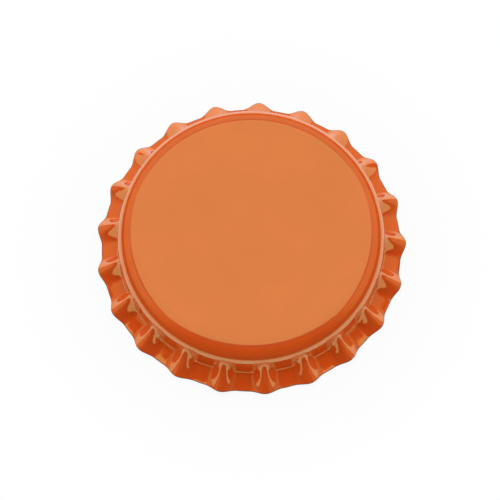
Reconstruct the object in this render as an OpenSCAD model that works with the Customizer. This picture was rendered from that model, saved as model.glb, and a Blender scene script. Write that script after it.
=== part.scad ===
// Crown cap for a glass bottle, not yet crimped: a disc of lacquered sheet steel
// pressed into a round top with a fluted, flared skirt, and a seal moulded inside it.
// Frame: +Z up through the middle of the top, z = 0 at the lowest point of the skirt's
// edge, and the crest of one flute on +X.

/* [Overall] */
// Height from the skirt's lowest point to the top of the panel
cap_h = 6; // [5:0.05:7.5]
// Outside diameter over the flute tips
tip_d = 32.1; // [30.5:0.1:39]
// Thickness of the sheet
sheet_t = 0.24; // [0.18:0.01:0.3]

/* [Panel and shoulder] */
// Outside diameter of the round wall under the shoulder
wall_d = 27.4; // [22:0.1:28.5]
// How far the shoulder reaches out, from the flat panel to the wall
shoulder_out = 2; // [1.2:0.1:2.4]
// How far the shoulder drops, from the flat panel to the wall
shoulder_drop = 2.4; // [1.4:0.1:2.6]
// Straight wall between the bend and the start of the flutes
wall_h = 0.1; // [0.05:0.05:0.5]

/* [Flutes] */
// Number of flutes round the skirt
flutes = 21; // [15:1:25]
// Depth of a flute at the skirt's edge, from its tip in to the valley beside it
flute_depth = 0.54; // [0.2:0.01:1]
// Height of the flute tips above the edge of the valleys
tip_lift = 0.58; // [0:0.01:1]
// Length of the bend that turns the wall into a crest
crest_bend = 0.8; // [0.3:0.05:1.2]
// Length over which a crest settles into its lean at the tip
crest_run = 1.1; // [0.3:0.05:1.5]
// Lean of a crest at its tip, in degrees from the vertical
crest_lean = 47; // [25:1:55]
// Length over which a valley carries the wall straight down
valley_wall = 3; // [1.5:0.1:3.6]
// Height above a valley's edge of the corner that its heel bends round
heel_rise = 0.95; // [0.3:0.05:1.4]
// Length over which a valley turns out into its lip
lip_run = 0.5; // [0.3:0.05:1.4]
// Lean of a valley's turned-out lip, in degrees from the vertical
lip_lean = 75; // [40:1:80]
// Half width of a flute at the wall, as a share of the flute pitch
flute_half_top = 0.3; // [0.25:0.01:0.48]
// Half width of a flute halfway down, as a share of the flute pitch
flute_half_middle = 0.35; // [0.25:0.01:0.48]
// Half width of a flute at its tip, as a share of the flute pitch
flute_half_tip = 0.37; // [0.25:0.01:0.48]

/* [Seal] */
// Thickness of the thin web across the middle of the seal
web_t = 0.3; // [0.2:0.05:0.4]
// Thickness of the pad round the edge of the seal
pad_t = 0.7; // [0.5:0.05:0.9]
// Width of the pad, from the inside of the wall
pad_w = 3.9; // [3:0.1:6]
// Height of the sealing rib that stands on the pad
rib_h = 0.3; // [0.15:0.05:0.4]
// Width of the sealing rib
rib_w = 1.7; // [1:0.1:2.4]
// Distance from the inside of the wall to the middle of the rib, where a bottle's lip presses
rib_inset = 2.05; // [1.6:0.05:2.4]
// Rounding of the free edges of the pad and the rib
seal_edge_r = 0.12; // [0.05:0.01:0.14]
// Gap between the seal and the inside of the wall
seal_gap = 0.06; // [0.03:0.01:0.2]

/* [Hidden] */

// Columns of facets to one flute, and rows of facets down the skirt
columns_per_flute = 12;
rows = 10;
// Crowding of the columns towards the crest, where the sheet bends most
crest_crowding = 1.3;
// Step outward where the skirt's straight facets start on the round wall
seam_step = 0.01;
// Half the step over which the skin's slope is measured, as a share of the way across it
slope_step = 0.001;
round_fn = 96;

wall_r = wall_d / 2;
panel_r = wall_r - shoulder_out;
flute_top_z = cap_h - shoulder_drop - wall_h;
seat_z = cap_h - sheet_t;
// The shoulder's reach and drop, on the outside and on the inside of the sheet
outer_bend = [shoulder_out, shoulder_drop];
inner_bend = outer_bend - [sheet_t, sheet_t];
pitch = 360 / flutes;
columns = flutes * columns_per_flute;

// The skirt's outer skin starts here, as [radius, height], and ends on these two corners.
skirt_top = [wall_r + seam_step, flute_top_z];
crest_tip = [tip_d / 2, sheet_t * sin(lip_lean) + tip_lift];
valley_edge = crest_tip - [flute_depth, tip_lift];
heel = [skirt_top.x, valley_edge.y + heel_rise];

// Inside of the wall, which the seal is measured from
bore_r = wall_r - sheet_t;
pad_z = seat_z - pad_t;

// A smooth curve from the first point to the last, drawn towards those between
function curve(points, t) =
    len(points) == 1 ? points[0]
    : curve([for (i = [1 : len(points) - 1]) (1 - t) * points[i - 1] + t * points[i]], t);

function below(point, length) = point - [0, length];

// The point this far back up a line that leans outward
function back_along(point, length, lean) = point + length * [-sin(lean), cos(lean)];

function crest(t) = curve([
    skirt_top,
    below(skirt_top, crest_bend),
    back_along(crest_tip, crest_run, crest_lean),
    crest_tip
], t);

// The heel counts twice, which keeps the bend there tight.
function valley(t) = curve([
    skirt_top,
    below(skirt_top, valley_wall),
    heel,
    heel,
    back_along(valley_edge, lip_run, lip_lean),
    valley_edge
], t);

// Half width of a flute at t: a parabola through its three stated widths
function flute_half(t) =
    flute_half_top * (1 - t) * (1 - 2 * t)
    + flute_half_middle * 4 * t * (1 - t)
    + flute_half_tip * t * (2 * t - 1);

// 1 on a crest, falling smoothly to 0 at the flute's foot; across is in pitches
function wave(across, t) =
    let (half = flute_half(t))
    abs(across) < half ? pow(cos(90 * across / half), 2) : 0;

// A point of the skirt's outer skin, p pitches round from +X and t of the way down
function skin(p, t) =
    let (
        v = valley(t),
        rz = v + (crest(t) - v) * wave(p - round(p), t)
    )
    on_ring(rz.x, rz.y, p);

function on_ring(r, z, p) = [r * cos(p * pitch), r * sin(p * pitch), z];

// The same point moved in by the sheet's thickness, square to the skin
function lining(p, t) =
    let (
        along = skin(p + slope_step, t) - skin(p - slope_step, t),
        down = skin(p, min(1, t + slope_step)) - skin(p, max(0, t - slope_step)),
        outward = cross(down, along)
    )
    skin(p, t) - sheet_t * outward / norm(outward);

// Where column k of a flute stands, in pitches from its crest
function column_place(k) =
    let (u = 2 * k / columns_per_flute - 1)
    sign(u) * pow(abs(u), crest_crowding) / 2;

column_at = [
    for (f = [0 : flutes - 1], k = [0 : columns_per_flute - 1]) f + column_place(k)
];

module crown_shell() {
    color("darkorange") union() {
        rolled_top();
        fluted_skirt();
    }
}

// Flat panel, rolled shoulder and the short round wall, as one turned section
module rolled_top() {
    rotate_extrude($fn = round_fn)
        difference() {
            under_top(panel_r, outer_bend, cap_h, flute_top_z);
            under_top(panel_r, inner_bend, seat_z, flute_top_z);
        }
}

// The area under a flat top that ends in a quarter oval, down to a floor
module under_top(flat_r, bend, top, floor) {
    translate([0, floor]) square([flat_r, top - floor]);
    translate([0, floor]) square([flat_r + bend.x, top - bend.y - floor]);
    translate([flat_r, top - bend.y])
        scale(bend) intersection() {
            circle(1, $fn = round_fn);
            square(1);
        }
}

// The skirt: rings that run down the outer skin, across the cut edge and up the lining
module fluted_skirt() {
    outer = [for (i = [0 : rows]) [for (p = column_at) skin(p, i / rows)]];
    inner = [for (i = [rows : -1 : 1]) [for (p = column_at) lining(p, i / rows)]];
    seam = [for (p = column_at) on_ring(skirt_top.x - sheet_t, flute_top_z, p)];
    rings = concat(outer, inner, [seam]);
    polyhedron(points = [for (ring = rings) each ring], faces = closed_faces(len(rings)));
}

// Two triangles for each cell between neighbouring rings, the last ring joined to the first
function closed_faces(ring_count) = [
    for (i = [0 : ring_count - 1], j = [0 : columns - 1])
        let (
            i2 = (i + 1) % ring_count,
            j2 = (j + 1) % columns,
            a = i * columns + j,
            b = i * columns + j2,
            c = i2 * columns + j2,
            d = i2 * columns + j
        )
        each [[a, b, c], [a, c, d]]
];

// Seal moulded into the shell: a thin web, a pad that fills the corner, and a rib
module liner() {
    color("ivory") rotate_extrude($fn = round_fn) union() {
        translate([0, seat_z - web_t]) square([bore_r - pad_w + seal_edge_r, web_t]);
        intersection() {
            under_top(panel_r - seal_gap, inner_bend, seat_z, pad_z);
            soft_bar(bore_r - pad_w, wall_r + seal_edge_r, pad_z, cap_h);
        }
        soft_bar(bore_r - rib_inset - rib_w / 2, bore_r - rib_inset + rib_w / 2,
                 pad_z - rib_h, pad_z + seal_edge_r);
    }
}

// A bar's section from one radius to another, with its two lower corners rounded
module soft_bar(from_r, to_r, floor, top) {
    translate([from_r, floor + seal_edge_r]) square([to_r - from_r, top - floor - seal_edge_r]);
    translate([from_r + seal_edge_r, floor]) square([to_r - from_r - 2 * seal_edge_r, top - floor]);
    for (r = [from_r + seal_edge_r, to_r - seal_edge_r])
        translate([r, floor + seal_edge_r]) circle(seal_edge_r, $fn = round_fn);
}

crown_shell();
liner();
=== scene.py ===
"""Looks of the crown cap: its fluted shell as one fine mesh, the moulded seal inside it,
and a white studio. Lengths are in millimetres, apart from those of the materials and the
studio, which are in metres."""

import math

import bpy
import numpy as np
from mathutils import Matrix, Vector


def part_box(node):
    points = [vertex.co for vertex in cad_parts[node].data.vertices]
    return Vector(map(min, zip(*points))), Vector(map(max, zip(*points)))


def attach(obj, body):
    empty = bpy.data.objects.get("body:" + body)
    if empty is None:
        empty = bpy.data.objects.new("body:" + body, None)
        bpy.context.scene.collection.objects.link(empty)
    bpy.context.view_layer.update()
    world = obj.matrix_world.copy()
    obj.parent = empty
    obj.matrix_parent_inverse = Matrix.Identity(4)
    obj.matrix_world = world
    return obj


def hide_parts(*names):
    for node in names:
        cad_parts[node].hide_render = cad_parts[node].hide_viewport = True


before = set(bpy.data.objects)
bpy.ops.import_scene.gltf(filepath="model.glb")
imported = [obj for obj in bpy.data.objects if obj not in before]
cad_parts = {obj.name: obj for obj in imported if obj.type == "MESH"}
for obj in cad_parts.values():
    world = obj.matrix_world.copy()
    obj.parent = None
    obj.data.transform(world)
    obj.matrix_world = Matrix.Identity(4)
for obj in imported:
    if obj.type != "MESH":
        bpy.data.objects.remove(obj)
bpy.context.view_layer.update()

MM = 0.001

# ---------------------------------------------------------------- sizes, in millimetres

SHELL_HIGH = np.array(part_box("crown_shell")[1]) / MM
SEAL_HIGH = np.array(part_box("liner")[1]) / MM

CAP_H = SHELL_HIGH[2]
TIP_R = SHELL_HIGH[0]
SHEET_T = CAP_H - SEAL_HIGH[2]

# The shell's form, as in the part's source, where WALL_R is half of wall_d
WALL_R = 13.7
SHOULDER_OUT = 2.0
SHOULDER_DROP = 2.4
WALL_H = 0.1
FLUTES = 21
FLUTE_DEPTH = 0.54
TIP_LIFT = 0.58
CREST_BEND = 0.8
CREST_RUN = 1.1
CREST_LEAN = 47
VALLEY_WALL = 3.0
HEEL_RISE = 0.95
LIP_RUN = 0.5
LIP_LEAN = 75
FLUTE_HALF = (0.3, 0.35, 0.37)

# The seal's section, as in the part's source but for the fillets, which are only drawn here
WEB_T = 0.3
PAD_T = 0.7
PAD_W = 3.9
RIB_H = 0.3
RIB_W = 1.7
RIB_INSET = 2.05
SEAL_EDGE_R = 0.12
SEAL_GAP = 0.06
SEAL_FILLET = 0.1

PANEL_R = WALL_R - SHOULDER_OUT
SKIRT_TOP = np.array([WALL_R, CAP_H - SHOULDER_DROP - WALL_H])
CREST_TIP = np.array([TIP_R, SHEET_T * math.sin(math.radians(LIP_LEAN)) + TIP_LIFT])
VALLEY_EDGE = CREST_TIP - np.array([FLUTE_DEPTH, TIP_LIFT])

# The fineness of the meshes
EDGE_ROUND = 0.05
EDGE_STEPS = 4
COLUMNS_PER_FLUTE = 32
SKIRT_ROWS = 30
SKIRT_END = 0.97
SHOULDER_STEPS = 18
CENTRE_R = 0.02
PANEL_RINGS = (2, 4, 6, 8, 9.5, 10.6)
PANEL_MARGINS = (0.5, 0.15)
INSIDE_RINGS = (9, 5)
SEAL_COLUMNS = 192
SEAL_WEB_RINGS = (2, 4, 6, 8)
SEAL_SEAT_RING = 6
SEAL_BEND_STEPS = 8
SEAL_BEND_START = 0.9
SEAL_BEND_REST = 0.8
SLOPE_STEP = 0.0005


# ---------------------------------------------------------------- the shell's surface

def bezier(points, t):
    """The curve with these control points, at each t."""
    rows = [np.outer(np.ones_like(t), point) for point in points]
    while len(rows) > 1:
        rows = [a + (b - a) * t[:, None] for a, b in zip(rows, rows[1:])]
    return rows[0]


def below(point, length):
    return point - np.array([0, length])


def back_along(point, length, lean):
    """The point that lies this far back up a line that leans outward from the vertical."""
    lean = math.radians(lean)
    return point + length * np.array([-math.sin(lean), math.cos(lean)])


def crest(t):
    return bezier((SKIRT_TOP, below(SKIRT_TOP, CREST_BEND),
                   back_along(CREST_TIP, CREST_RUN, CREST_LEAN), CREST_TIP), t)


def valley(t):
    heel = np.array([WALL_R, VALLEY_EDGE[1] + HEEL_RISE])
    return bezier((SKIRT_TOP, below(SKIRT_TOP, VALLEY_WALL), heel, heel,
                   back_along(VALLEY_EDGE, LIP_RUN, LIP_LEAN), VALLEY_EDGE), t)


def flute_half(t):
    """Half width of a flute, in pitches: a parabola through its three stated widths."""
    top, middle, tip = FLUTE_HALF
    return top * (1 - t) * (1 - 2 * t) + middle * 4 * t * (1 - t) + tip * t * (2 * t - 1)


def wave(across, t):
    """1 on a crest, falling smoothly to 0 at the flute's foot; across is in pitches."""
    share = np.minimum(np.abs(across) / flute_half(t), 1)
    return np.cos(share * math.pi / 2) ** 2


def on_ring(r, z, p):
    """Points at radius r and height z, p flute pitches round from +X."""
    turn = p * 2 * math.pi / FLUTES
    return np.stack(np.broadcast_arrays(r * np.cos(turn), r * np.sin(turn), z), 1)


def skin(p, t):
    """Points of the outer skin, p pitches round from +X and t of the way down the skirt."""
    foot = valley(t)
    r, z = (foot + (crest(t) - foot) * wave(p - np.round(p), t)[:, None]).T
    return on_ring(r, z, p)


def unit(v):
    return v / np.linalg.norm(v, axis=1, keepdims=True)


def directions(p, t):
    """The skin's outward normal, and its direction down towards the edge."""
    along = skin(p + SLOPE_STEP, t) - skin(p - SLOPE_STEP, t)
    down = skin(p, np.minimum(1, t + SLOPE_STEP)) - skin(p, np.maximum(0, t - SLOPE_STEP))
    outward = unit(np.cross(down, along))
    return outward, unit(np.cross(along, outward))


def rolled(out, drop, top, p, steps):
    """Rings of a flat top's rounded shoulder, from its inner edge down to the wall."""
    for a in np.radians(np.linspace(0, 90, steps + 1)):
        yield on_ring(PANEL_R + out * math.sin(a), top - drop * (1 - math.cos(a)), p)


def shell_rings():
    """(region, ring of points), from the middle of the panel out and down the skirt, round
    the cut edge and back up the inside."""
    p = np.arange(FLUTES * COLUMNS_PER_FLUTE) / COLUMNS_PER_FLUTE
    full = np.ones_like(p)
    rows = np.linspace(0, SKIRT_END, SKIRT_ROWS)
    panel = (CENTRE_R, *PANEL_RINGS, *(PANEL_R - margin for margin in PANEL_MARGINS))
    rings = [("outside", on_ring(r, CAP_H, p)) for r in panel]
    rings += [("outside", ring)
              for ring in rolled(SHOULDER_OUT, SHOULDER_DROP, CAP_H, p, SHOULDER_STEPS)]
    rings += [("outside", skin(p, t * full)) for t in rows]

    outward, down = directions(p, full)
    corner = skin(p, full)
    upper = corner - EDGE_ROUND * (outward + down)
    lower = corner - (SHEET_T - EDGE_ROUND) * outward - EDGE_ROUND * down
    quarter = np.radians(np.linspace(0, 90, EDGE_STEPS + 1))
    rings += [("edge", upper + EDGE_ROUND * (math.cos(a) * outward + math.sin(a) * down))
              for a in quarter]
    rings += [("edge", lower + EDGE_ROUND * (math.cos(a) * down - math.sin(a) * outward))
              for a in quarter]

    rings += [("inside", skin(p, t * full) - SHEET_T * directions(p, t * full)[0])
              for t in rows[:0:-1]]
    shoulder = list(rolled(SHOULDER_OUT - SHEET_T, SHOULDER_DROP - SHEET_T, CAP_H - SHEET_T, p,
                           SHOULDER_STEPS))
    rings += [("inside", ring) for ring in reversed(shoulder)]
    rings += [("inside", on_ring(r, CAP_H - SHEET_T, p)) for r in (*INSIDE_RINGS, CENTRE_R)]
    return rings


def rounded(corners, steps=5):
    """The path through these corners (r, z, rounding), each rounded one replaced by an arc."""
    path = [np.array(corners[0][:2])]
    for before, corner, after in zip(corners, corners[1:], corners[2:]):
        here, rounding = np.array(corner[:2]), corner[2]
        back, on = (np.array(end[:2]) - here for end in (before, after))
        back, on = back / np.linalg.norm(back), on / np.linalg.norm(on)
        half = math.acos(np.dot(back, on)) / 2
        reach = rounding / math.tan(half)
        middle = here + (back + on) / np.linalg.norm(back + on) * rounding / math.sin(half)
        for share in np.linspace(0, 1, steps + 1):
            spoke = here + (back * (1 - share) + on * share) * reach - middle
            path.append(middle + spoke * rounding / np.linalg.norm(spoke))
    return path + [np.array(corners[-1][:2])]


def seal_rings():
    """(region, ring of points) round the seal, from the middle of the face that lies on the
    sheet, out and down the bend, and back in over the pad and the rib."""
    seat_z = CAP_H - SHEET_T
    bore_r = WALL_R - SHEET_T
    pad_z = seat_z - PAD_T
    rib_z = pad_z - RIB_H
    rib_in, rib_out = (bore_r - RIB_INSET + side * RIB_W / 2 for side in (-1, 1))
    reach, drop = SHOULDER_OUT - SHEET_T, SHOULDER_DROP - SHEET_T
    pad_angle = math.acos(1 - PAD_T / drop)
    bend_r = PANEL_R - SEAL_GAP
    path = rounded([
        (CENTRE_R, seat_z - WEB_T, 0),
        (bore_r - PAD_W, seat_z - WEB_T, SEAL_FILLET),
        (bore_r - PAD_W, pad_z, SEAL_EDGE_R),
        (rib_in, pad_z, SEAL_FILLET),
        (rib_in, rib_z, SEAL_EDGE_R),
        (rib_out, rib_z, SEAL_EDGE_R),
        (rib_out, pad_z, SEAL_FILLET),
        (bend_r + reach * math.sin(pad_angle), pad_z, SEAL_EDGE_R / 2),
        (bend_r + reach * math.sin(pad_angle * SEAL_BEND_START),
         seat_z - drop * (1 - math.cos(pad_angle * SEAL_BEND_START)), 0)])
    path[1:1] = [(r, seat_z - WEB_T) for r in SEAL_WEB_RINGS]
    path += [(bend_r + reach * math.sin(a), seat_z - drop * (1 - math.cos(a)))
             for a in np.linspace(pad_angle * SEAL_BEND_REST, 0, SEAL_BEND_STEPS)]
    path += [(r, seat_z) for r in (SEAL_SEAT_RING, CENTRE_R)]
    p = np.arange(SEAL_COLUMNS) * FLUTES / SEAL_COLUMNS
    return [("seal", on_ring(r, z, p)) for r, z in reversed(path)]


def mesh_from_rings(name, rings, materials):
    """One closed mesh of neighbouring rings, whose first and last rings are each one face."""
    columns = len(rings[0][1])
    slots = list(materials)
    start = np.arange(columns)
    after = np.roll(start, -1)
    faces = [tuple(int(v) for v in start)]
    regions = [rings[0][0]]
    for i, (region, _) in enumerate(rings[1:]):
        upper, lower = i * columns, (i + 1) * columns
        cells = np.stack([upper + start, lower + start, lower + after, upper + after], 1)
        faces += cells.tolist()
        regions += [region] * columns
    last = (len(rings) - 1) * columns
    faces.append(tuple(int(v) for v in last + start[::-1]))
    regions.append(rings[-1][0])

    mesh = bpy.data.meshes.new(name)
    mesh.from_pydata((np.concatenate([ring for _, ring in rings]) * MM).tolist(), [], faces)
    mesh.polygons.foreach_set("material_index", [slots.index(region) for region in regions])
    mesh.shade_smooth()
    for material in materials.values():
        mesh.materials.append(material)
    piece = bpy.data.objects.new(name, mesh)
    bpy.context.scene.collection.objects.link(piece)
    return piece


# ---------------------------------------------------------------- materials, in metres

# Lacquer. Its index and the tint of its mirror image are chosen to match the photograph: a
# real lacquer's index is about 1.5, and it mirrors without a tint.
# The two lacquer colours are one orange with painted light and shade: the paler tone stands in for
# the light on the flat panel, the deeper one for the shade on the shoulder and skirt.
LACQUER_SKIRT_PAINTED_SHADE = (0.87, 0.106, 0.012)
LACQUER_PANEL_PAINTED_LIGHT = (0.72, 0.105, 0.03)
LACQUER_IOR = 2.25
LACQUER_TINT = (1.0, 1.0, 0.3)
LACQUER_ROUGHNESS = 0.07
ROUGHNESS_VARIES = 0.2
ROUGHNESS_SCALE = 900.0
# Heights over which the skirt's painted shade turns into the panel's painted light
PAINTED_TONES_Z = (0.0056, 0.00598)
MOTTLE = 0.035
MOTTLE_SCALE = 170.0
DRIFT_DEPTH = 1.5e-6
DRIFT_SCALE = 160.0
DRIFT_DETAIL = 1.0
PEEL_DEPTH = 1.2e-7
PEEL_SCALE = 2400.0

# Tinned sheet, with a grain along X
TINPLATE = (0.72, 0.68, 0.58)
TINPLATE_TONE = (0.93, 1.05)
TINPLATE_TONE_SCALE = 260.0
TINPLATE_ROUGHNESS = (0.24, 0.36)
GRAIN_SCALE = (400.0, 9000.0, 400.0)
GRAIN_DEPTH = 1.5e-6

# Cut edge, torn upright
STEEL = (0.3, 0.24, 0.19)
STEEL_TONE = (0.75, 1.15)
STEEL_TONE_SCALE = 1500.0
STEEL_ROUGHNESS = (0.38, 0.55)
TORN_SCALE = (6000.0, 6000.0, 1500.0)
TORN_DEPTH = 4e-6

# Seal
COMPOUND = (0.86, 0.84, 0.78)
COMPOUND_IOR = 1.5
COMPOUND_TONE = (0.97, 1.02)
COMPOUND_TONE_SCALE = 220.0
COMPOUND_ROUGHNESS = (0.36, 0.46)
COMPOUND_ROUGHNESS_SCALE = 1200.0
RING_SCALE = 4000.0
RING_DEPTH = 3e-6

NOISE_RANGE = (0.3, 0.7)
SOFT_DETAIL = 2.0
FINE_DETAIL = 3.0


def add(tree, kind, settings=None, **inputs):
    """A new node, with its settings and the values or links of its inputs."""
    new = tree.nodes.new("ShaderNode" + kind)
    for setting, value in (settings or {}).items():
        setattr(new, setting, value)
    for name, value in inputs.items():
        socket = new.inputs[int(name[1:]) if name[0] == "_" else name.replace("_", " ")]
        if isinstance(value, bpy.types.NodeSocket):
            tree.links.new(value, socket)
        else:
            socket.default_value = value
    return new


def blank_material(name):
    """A new material without nodes, and its tree."""
    material = bpy.data.materials.new(name)
    material.use_nodes = True
    material.node_tree.nodes.clear()
    return material, material.node_tree


def principled(name, **inputs):
    material, tree = blank_material(name)
    shader = add(tree, "BsdfPrincipled", **inputs)
    add(tree, "OutputMaterial", Surface=shader.outputs["BSDF"])
    return material, tree, shader


def position(tree):
    return add(tree, "NewGeometry").outputs["Position"]


def combined(tree, operation, a, b):
    """What a Math node makes of two values."""
    return add(tree, "Math", {"operation": operation}, _0=a, _1=b).outputs[0]


def smooth_step(tree, value, span, low=0.0, high=1.0):
    """Goes smoothly from low to high while the value crosses the span."""
    return add(tree, "MapRange", {"interpolation_type": "SMOOTHSTEP"}, Value=value,
               From_Min=span[0], From_Max=span[1], To_Min=low, To_Max=high).outputs["Result"]


def noise(tree, place, scale, detail=SOFT_DETAIL):
    """Smooth noise, about 0.5; scale is in features a metre, or three of them by axis."""
    if not isinstance(scale, float):
        place = add(tree, "VectorMath", {"operation": "MULTIPLY"}, _0=place, _1=scale).outputs[0]
        scale = 1.0
    return add(tree, "TexNoise", Vector=place, Scale=scale, Detail=detail).outputs["Fac"]


def spread(tree, value, low, high):
    """Noise turned into a value from low to high."""
    return add(tree, "MapRange", Value=value, From_Min=NOISE_RANGE[0], From_Max=NOISE_RANGE[1],
               To_Min=low, To_Max=high).outputs["Result"]


def bump(tree, height, depth, normal=None):
    """The normal of a surface raised by depth metres where the height is 1."""
    inputs = {"Normal": normal} if normal else {}
    raised = add(tree, "Bump", Height=height, Distance=depth, Strength=1.0, **inputs)
    return raised.outputs["Normal"]


def shaded(tree, colour, factor):
    """A colour made darker or lighter by a factor."""
    return add(tree, "VectorMath", {"operation": "SCALE"}, _0=colour, Scale=factor).outputs[0]


def lacquer():
    """Baked lacquer: mottled a little, faintly orange-peeled, on a sheet that is not quite flat.
    It is deeper in colour below the panel: its two tones are painted light and shade on one
    lacquer, matched to how light fell on the flat top and on the steep skirt."""
    material, tree, shader = principled("orange_enamel", IOR=LACQUER_IOR,
                                        Specular_Tint=(*LACQUER_TINT, 1))
    place = position(tree)
    z = add(tree, "SeparateXYZ", Vector=place).outputs["Z"]
    # Painted light and shade: the panel's paler tone above these heights, the deeper tone below
    # them
    panel = smooth_step(tree, z, PAINTED_TONES_Z)
    colour = add(tree, "Mix", {"data_type": "RGBA"}, _0=panel,
                 _6=(*LACQUER_SKIRT_PAINTED_SHADE, 1), _7=(*LACQUER_PANEL_PAINTED_LIGHT, 1)).outputs[2]
    mottle = spread(tree, noise(tree, place, MOTTLE_SCALE), 1 - MOTTLE, 1 + MOTTLE)
    tree.links.new(shaded(tree, colour, mottle), shader.inputs["Base Color"])
    roughness = spread(tree, noise(tree, place, ROUGHNESS_SCALE),
                       LACQUER_ROUGHNESS * (1 - ROUGHNESS_VARIES),
                       LACQUER_ROUGHNESS * (1 + ROUGHNESS_VARIES))
    tree.links.new(roughness, shader.inputs["Roughness"])
    drift = bump(tree, noise(tree, place, DRIFT_SCALE, DRIFT_DETAIL), DRIFT_DEPTH)
    peel = bump(tree, noise(tree, place, PEEL_SCALE), PEEL_DEPTH, drift)
    tree.links.new(peel, shader.inputs["Normal"])
    return material


def tinplate():
    """Tinned sheet under clear lacquer, with the fine straight grain of rolling."""
    material, tree, shader = principled("clear_lacquered_tinplate", Metallic=1.0)
    place = position(tree)
    grain = noise(tree, place, GRAIN_SCALE, FINE_DETAIL)
    tone = spread(tree, noise(tree, place, TINPLATE_TONE_SCALE), *TINPLATE_TONE)
    tree.links.new(shaded(tree, TINPLATE, tone), shader.inputs["Base Color"])
    tree.links.new(spread(tree, grain, *TINPLATE_ROUGHNESS), shader.inputs["Roughness"])
    tree.links.new(bump(tree, grain, GRAIN_DEPTH), shader.inputs["Normal"])
    return material


def cut_steel():
    """The bare edge the punch left, dull and slightly browned."""
    material, tree, shader = principled("cut_steel", Metallic=1.0)
    place = position(tree)
    tone = spread(tree, noise(tree, place, STEEL_TONE_SCALE, FINE_DETAIL), *STEEL_TONE)
    tree.links.new(shaded(tree, STEEL, tone), shader.inputs["Base Color"])
    torn = noise(tree, place, TORN_SCALE, FINE_DETAIL)
    tree.links.new(spread(tree, torn, *STEEL_ROUGHNESS), shader.inputs["Roughness"])
    tree.links.new(bump(tree, torn, TORN_DEPTH), shader.inputs["Normal"])
    return material


def compound():
    """Waxy moulded seal, with the fine rings that its turned punch left."""
    material, tree, shader = principled("seal_compound", IOR=COMPOUND_IOR)
    place = position(tree)
    tone = spread(tree, noise(tree, place, COMPOUND_TONE_SCALE), *COMPOUND_TONE)
    tree.links.new(shaded(tree, COMPOUND, tone), shader.inputs["Base Color"])
    roughness = spread(tree, noise(tree, place, COMPOUND_ROUGHNESS_SCALE), *COMPOUND_ROUGHNESS)
    tree.links.new(roughness, shader.inputs["Roughness"])
    flat = add(tree, "VectorMath", {"operation": "MULTIPLY"}, _0=place, _1=(1, 1, 0)).outputs[0]
    radius = add(tree, "VectorMath", {"operation": "LENGTH"}, _0=flat).outputs["Value"]
    rings = add(tree, "TexNoise", {"noise_dimensions": "1D"}, W=radius, Scale=RING_SCALE,
                Detail=SOFT_DETAIL).outputs["Fac"]
    tree.links.new(bump(tree, rings, RING_DEPTH), shader.inputs["Normal"])
    return material


# ---------------------------------------------------------------- the pieces

def build_pieces():
    shell = mesh_from_rings("cap_shell", shell_rings(), {
        "outside": lacquer(), "edge": cut_steel(), "inside": tinplate()})
    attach(shell, "root")
    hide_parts("crown_shell")
    seal = mesh_from_rings("moulded_seal", seal_rings(), {"seal": compound()})
    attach(seal, "root")
    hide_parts("liner")


# ---------------------------------------------------------------- studio, in metres

FLOOR_R = 3.0
FLOOR_COLOUR = (0.86, 0.86, 0.86)
FLOOR_LIFT = 0.9
CONTACT_R = (0.0165, 0.028)
CARD_HOLE_AT = (0.0, 0.005, 0.0)
CARD_HOLE_R = (0.0235, 0.0265)
CARD_SHADE = 0.03
CARD_LIFT = 0.0001
CARD_INSET = 0.01
SOFTBOX_SIZE = (0.92, 0.72)
SOFTBOX_AT = (0.0, 0.105, 0.5)
SOFTBOX_RADIANCE = 0.86
FILL_SIZE = (0.92, 0.72)
FILL_AT = (0.0, 0.08, 0.48)
FILL_RADIANCE = 1.05
WALL_RADIUS = 0.62
WALL_TOP = 0.52
CEILING_MARGIN = 0.01
WALL_GLOW = (0.02, 0.36, 0.4)
WALL_Y = (-0.5, -0.1, 0.5)


def disc_or_tube(name, radius, heights, sides=96):
    """A disc at one height, or a tube between two with a lid on top."""
    turns = [2 * math.pi * i / sides for i in range(sides)]
    points = [(radius * math.cos(a), radius * math.sin(a), z) for z in heights for a in turns]
    faces = [tuple(range(len(points) - sides, len(points)))]
    if len(heights) == 2:
        faces += [(i, i + sides, (i + 1) % sides + sides, (i + 1) % sides) for i in range(sides)]
    mesh = bpy.data.meshes.new(name)
    mesh.from_pydata(points, [], faces)
    thing = bpy.data.objects.new(name, mesh)
    bpy.context.scene.collection.objects.link(thing)
    return thing


def shows_white(tree):
    """1 for the rays that should find a white background: camera, glossy and transmission."""
    path = add(tree, "LightPath").outputs
    seen = combined(tree, "MAXIMUM", path["Is Camera Ray"], path["Is Glossy Ray"])
    return combined(tree, "MAXIMUM", seen, path["Is Transmission Ray"])


def floor_material():
    """Pale floor that is seen as white, with a faint shadow close to the cap."""
    material, tree = blank_material("floor_white")
    place = position(tree)
    distance = add(tree, "VectorMath", {"operation": "LENGTH"}, _0=place).outputs["Value"]
    away = smooth_step(tree, distance, CONTACT_R, low=FLOOR_LIFT)
    share = combined(tree, "MULTIPLY", shows_white(tree), away)
    pale = add(tree, "BsdfDiffuse", Color=(*FLOOR_COLOUR, 1))
    white = add(tree, "Emission", Color=(1, 1, 1, 1), Strength=1.0)
    mix = add(tree, "MixShader", _0=share, _1=pale.outputs[0], _2=white.outputs[0])
    add(tree, "OutputMaterial", Surface=mix.outputs[0])
    return material


def wall_material():
    """The studio's walls: black overhead, nearly black behind the camera, grey at the sides
    and a little paler beyond."""
    material, tree = blank_material("studio_wall")
    split = add(tree, "SeparateXYZ", Vector=position(tree)).outputs
    near = smooth_step(tree, split["Y"], WALL_Y[:2], *WALL_GLOW[:2])
    far = smooth_step(tree, split["Y"], WALL_Y[1:], high=WALL_GLOW[2] - WALL_GLOW[1])
    glow = combined(tree, "ADD", near, far)
    side = combined(tree, "LESS_THAN", split["Z"], WALL_TOP - CEILING_MARGIN)
    glow = combined(tree, "MULTIPLY", glow, side)
    light = add(tree, "Emission", Color=(1, 1, 1, 1), Strength=glow)
    add(tree, "OutputMaterial", Surface=light.outputs[0])
    return material


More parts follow.
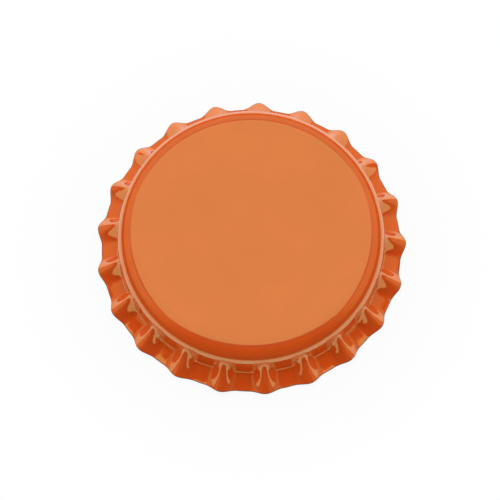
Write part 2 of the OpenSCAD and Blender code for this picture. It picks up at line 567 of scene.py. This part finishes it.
def card_material():
    """Dark card that is seen only as a mirror image: it covers the floor, apart from a round
    hole with a soft edge that the cap stands in, so the lacquer mirrors a thin ring of white."""
    material, tree = blank_material("black_card")
    offset = add(tree, "VectorMath", {"operation": "DISTANCE"}, _0=position(tree),
                 _1=CARD_HOLE_AT).outputs["Value"]
    covered = smooth_step(tree, offset, CARD_HOLE_R)
    dark = add(tree, "Emission", Color=(1, 1, 1, 1), Strength=CARD_SHADE)
    clear = add(tree, "BsdfTransparent")
    mix = add(tree, "MixShader", _0=covered, _1=clear.outputs[0], _2=dark.outputs[0])
    add(tree, "OutputMaterial", Surface=mix.outputs[0])
    return material


def build_world():
    """Plain white, which the camera sees past the floor's edge."""
    world = bpy.data.worlds.new("studio_air")
    bpy.context.scene.world = world
    world.use_nodes = True
    tree = world.node_tree
    tree.nodes.clear()
    white = add(tree, "Background", Color=(1, 1, 1, 1), Strength=1.0)
    add(tree, "OutputWorld", Surface=white.outputs[0])


def build_softbox(name, size, place, radiance, mirrored):
    """A flat lamp that faces down; one that isn't mirrored lights the cap without a reflection."""
    light = bpy.data.lights.new(name, "AREA")
    light.shape = "RECTANGLE"
    light.size, light.size_y = size
    light.energy = radiance * math.pi * light.size * light.size_y
    lamp = bpy.data.objects.new(name, light)
    lamp.location = place
    lamp.visible_camera = False
    lamp.visible_glossy = mirrored
    bpy.context.scene.collection.objects.link(lamp)


def build_studio():
    """The floor, the walls round the cap, the card on the floor and two lamps overhead."""
    bpy.context.scene.view_settings.view_transform = "Standard"
    disc_or_tube("floor", FLOOR_R, [0]).data.materials.append(floor_material())
    wall = disc_or_tube("studio_wall", WALL_RADIUS, [0, WALL_TOP])
    wall.data.materials.append(wall_material())
    wall.visible_camera = False
    card = disc_or_tube("black_card", WALL_RADIUS - CARD_INSET, [CARD_LIFT])
    card.data.materials.append(card_material())
    card.visible_camera = False
    card.visible_shadow = False
    card.visible_diffuse = False
    build_world()
    build_softbox("softbox", SOFTBOX_SIZE, SOFTBOX_AT, SOFTBOX_RADIANCE, True)
    build_softbox("fill", FILL_SIZE, FILL_AT, FILL_RADIANCE, False)


# ---------------------------------------------------------------- camera, in mm and degrees

CAMERA_ELEVATION = 70.53
CAMERA_AZIMUTH = -0.409
CAMERA_ROLL = 0.87
CAMERA_DISTANCE = 295.39
CAMERA_AIM = (-0.132, -0.393)
CAMERA_LENS = 205.5
CAMERA_CLIP = (10, 20000)


def build_camera():
    """Looks down over the near edge, from where the flute tips line up with the photograph."""
    elevation, roll = math.radians(CAMERA_ELEVATION), math.radians(CAMERA_ROLL)
    turn = Matrix.Rotation(math.radians(CAMERA_AZIMUTH), 3, "Z")
    right = turn @ Vector((1, 0, 0))
    up = turn @ Vector((0, math.sin(elevation), math.cos(elevation)))
    forward = turn @ Vector((0, math.cos(elevation), -math.sin(elevation)))
    place = (Vector((0, 0, CREST_TIP[1])) + CAMERA_AIM[0] * right + CAMERA_AIM[1] * up
             - CAMERA_DISTANCE * forward)
    rolled_right = math.cos(roll) * right - math.sin(roll) * up
    rolled_up = math.sin(roll) * right + math.cos(roll) * up
    data = bpy.data.cameras.new("camera")
    data.lens = CAMERA_LENS
    data.clip_start, data.clip_end = (limit * MM for limit in CAMERA_CLIP)
    camera = bpy.data.objects.new("camera", data)
    axes = Matrix((rolled_right, rolled_up, -forward)).transposed()
    camera.matrix_world = Matrix.Translation(place * MM) @ axes.to_4x4()
    bpy.context.scene.collection.objects.link(camera)
    bpy.context.scene.camera = camera


build_pieces()
build_studio()
build_camera()
